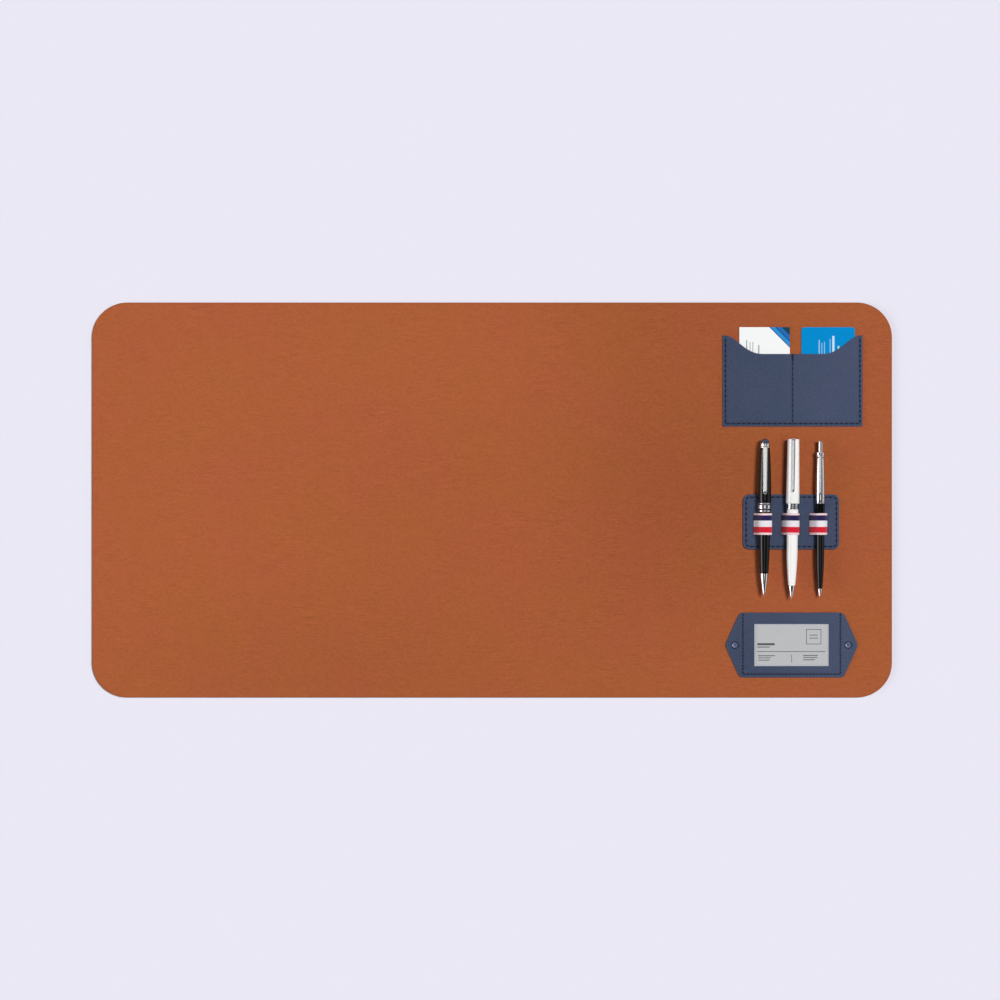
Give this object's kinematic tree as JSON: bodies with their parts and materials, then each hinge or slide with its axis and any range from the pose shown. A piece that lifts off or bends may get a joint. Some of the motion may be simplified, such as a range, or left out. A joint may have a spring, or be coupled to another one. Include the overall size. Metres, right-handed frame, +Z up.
{
  "type": "desk pad",
  "caption": "Tan leather desk pad with a navy card pocket, striped elastic pen loops holding pens and a riveted navy name tag with a clear window.",
  "frame": {"origin": "underside of the pad at the middle of its outline", "axes": "+X along the pad's length to the user's right, +Y away from the user, +Z up"},
  "size_m": [0.8, 0.395, 0.0211],
  "materials": {
    "tan_leather": "fine pebble grain, semi-matte",
    "core_board": "grey-brown board, hidden",
    "suede_backing": "brown suede",
    "navy_leather": "fine smooth grain, semi-matte",
    "navy_thread": "twisted thread",
    "striped_elastic": "woven elastic with navy, white and red bands",
    "clear_film": "clear soft film",
    "rivet_steel": "blued steel",
    "white_card": "white card with blue bands",
    "blue_card": "blue card with pale bars",
    "grey_card": "grey card with dark bars and lines",
    "black_resin": "polished",
    "dark_resin": "polished",
    "white_resin": "polished",
    "pen_chrome": "polished",
    "pen_steel": "satin",
    "spring_steel": "drawn wire",
    "pen_brass": "turned, hidden",
    "refill_brass": "turned, with a steel point",
    "refill_plastic": "moulded, with a steel point"
  },
  "bodies": {
    "desk_pad": {"pad_backing": "suede_backing", "pad_core": "core_board", "pad_skin": "tan_leather", "pocket_back": "navy_leather", "pocket_front": "navy_leather", "pocket_stitching": "navy_thread", "patch_back": "navy_leather", "patch_front": "navy_leather", "patch_stitching": "navy_thread", "pen_loop_left": "striped_elastic", "pen_loop_middle": "striped_elastic", "pen_loop_right": "striped_elastic", "tag_back": "navy_leather", "tag_front": "navy_leather", "tag_window": "clear_film", "tag_stitching": "navy_thread", "tag_rivet_posts": "rivet_steel", "tag_rivet_caps": "rivet_steel"},
    "white_card": {"white_card": "white_card"},
    "blue_card": {"blue_card": "blue_card"},
    "name_card": {"name_card": "grey_card"},
    "black_pen_lower": {"black_pen_barrel": "black_resin", "black_pen_cone": "pen_chrome"},
    "black_pen_upper": {"black_pen_cap": "black_resin", "black_pen_rings": "pen_chrome", "black_pen_clip": "pen_chrome", "black_pen_finial": "dark_resin", "black_pen_sleeve": "pen_brass"},
    "black_pen_refill": {"black_pen_refill": "refill_brass"},
    "white_pen_lower": {"white_pen_barrel": "white_resin", "white_pen_cone": "pen_chrome"},
    "white_pen_upper": {"white_pen_cap": "white_resin", "white_pen_band": "pen_chrome", "white_pen_clip": "pen_chrome", "white_pen_sleeve": "pen_brass"},
    "white_pen_refill": {"white_pen_refill": "refill_brass"},
    "click_pen_body": {"click_pen_barrel": "black_resin", "click_pen_cone": "pen_chrome", "click_pen_cap": "pen_steel", "click_pen_clip": "pen_steel", "click_pen_spring": "spring_steel"},
    "click_pen_button": {"click_pen_button": "pen_steel"},
    "click_pen_refill": {"click_pen_refill": "refill_plastic"}
  },
  "joints": [
    {"name": "white_card_slide", "type": "slide", "parent": "desk_pad", "child": "white_card", "axis": [0, 1, 0], "range_m": [-0.0045, 0.085]},
    {"name": "blue_card_slide", "type": "slide", "parent": "desk_pad", "child": "blue_card", "axis": [0, 1, 0], "range_m": [-0.008, 0.083]},
    {"name": "name_card_slide", "type": "slide", "parent": "desk_pad", "child": "name_card", "axis": [0, 1, 0], "range_m": [0, 0.061]},
    {"name": "black_pen_slide", "type": "slide", "parent": "desk_pad", "child": "black_pen_lower", "axis": [0.007, 1, 0], "range_m": [0, 0.085]},
    {"name": "black_pen_twist", "type": "hinge", "parent": "black_pen_lower", "child": "black_pen_upper", "pos_m": [0.2716, -0.0959, 0.01245], "axis": [0.007, 1, 0], "range_deg": [0, 120]},
    {"name": "black_refill_slide", "type": "slide", "parent": "black_pen_lower", "child": "black_pen_refill", "axis": [0.007, 1, 0], "range_m": [0, 0.004]},
    {"name": "white_pen_slide", "type": "slide", "parent": "desk_pad", "child": "white_pen_lower", "axis": [0.0122, 0.9999, 0], "range_m": [0, 0.085]},
    {"name": "white_pen_twist", "type": "hinge", "parent": "white_pen_lower", "child": "white_pen_upper", "pos_m": [0.299, -0.0988, 0.01245], "axis": [0.0122, 0.9999, 0], "range_deg": [0, 120]},
    {"name": "white_refill_slide", "type": "slide", "parent": "white_pen_lower", "child": "white_pen_refill", "axis": [0.0122, 0.9999, 0], "range_m": [0, 0.004]},
    {"name": "click_pen_slide", "type": "slide", "parent": "desk_pad", "child": "click_pen_body", "axis": [0.0035, 1, 0], "range_m": [0, 0.085]},
    {"name": "click_button_push", "type": "slide", "parent": "click_pen_body", "child": "click_pen_button", "axis": [-0.0035, -1, 0], "range_m": [0, 0.005], "stiffness_N_per_m": 250},
    {"name": "click_refill_slide", "type": "slide", "parent": "click_pen_body", "child": "click_pen_refill", "axis": [-0.0035, -1, 0], "range_m": [0, 0.005], "deforming": ["click_pen_spring"]}
  ],
  "couplings": [
    {"joint": "black_refill_slide", "follows": "black_pen_twist", "m_per_rad": 0.0019098},
    {"joint": "white_refill_slide", "follows": "white_pen_twist", "m_per_rad": 0.0019098},
    {"joint": "click_refill_slide", "follows": "click_button_push", "ratio": 1}
  ]
}
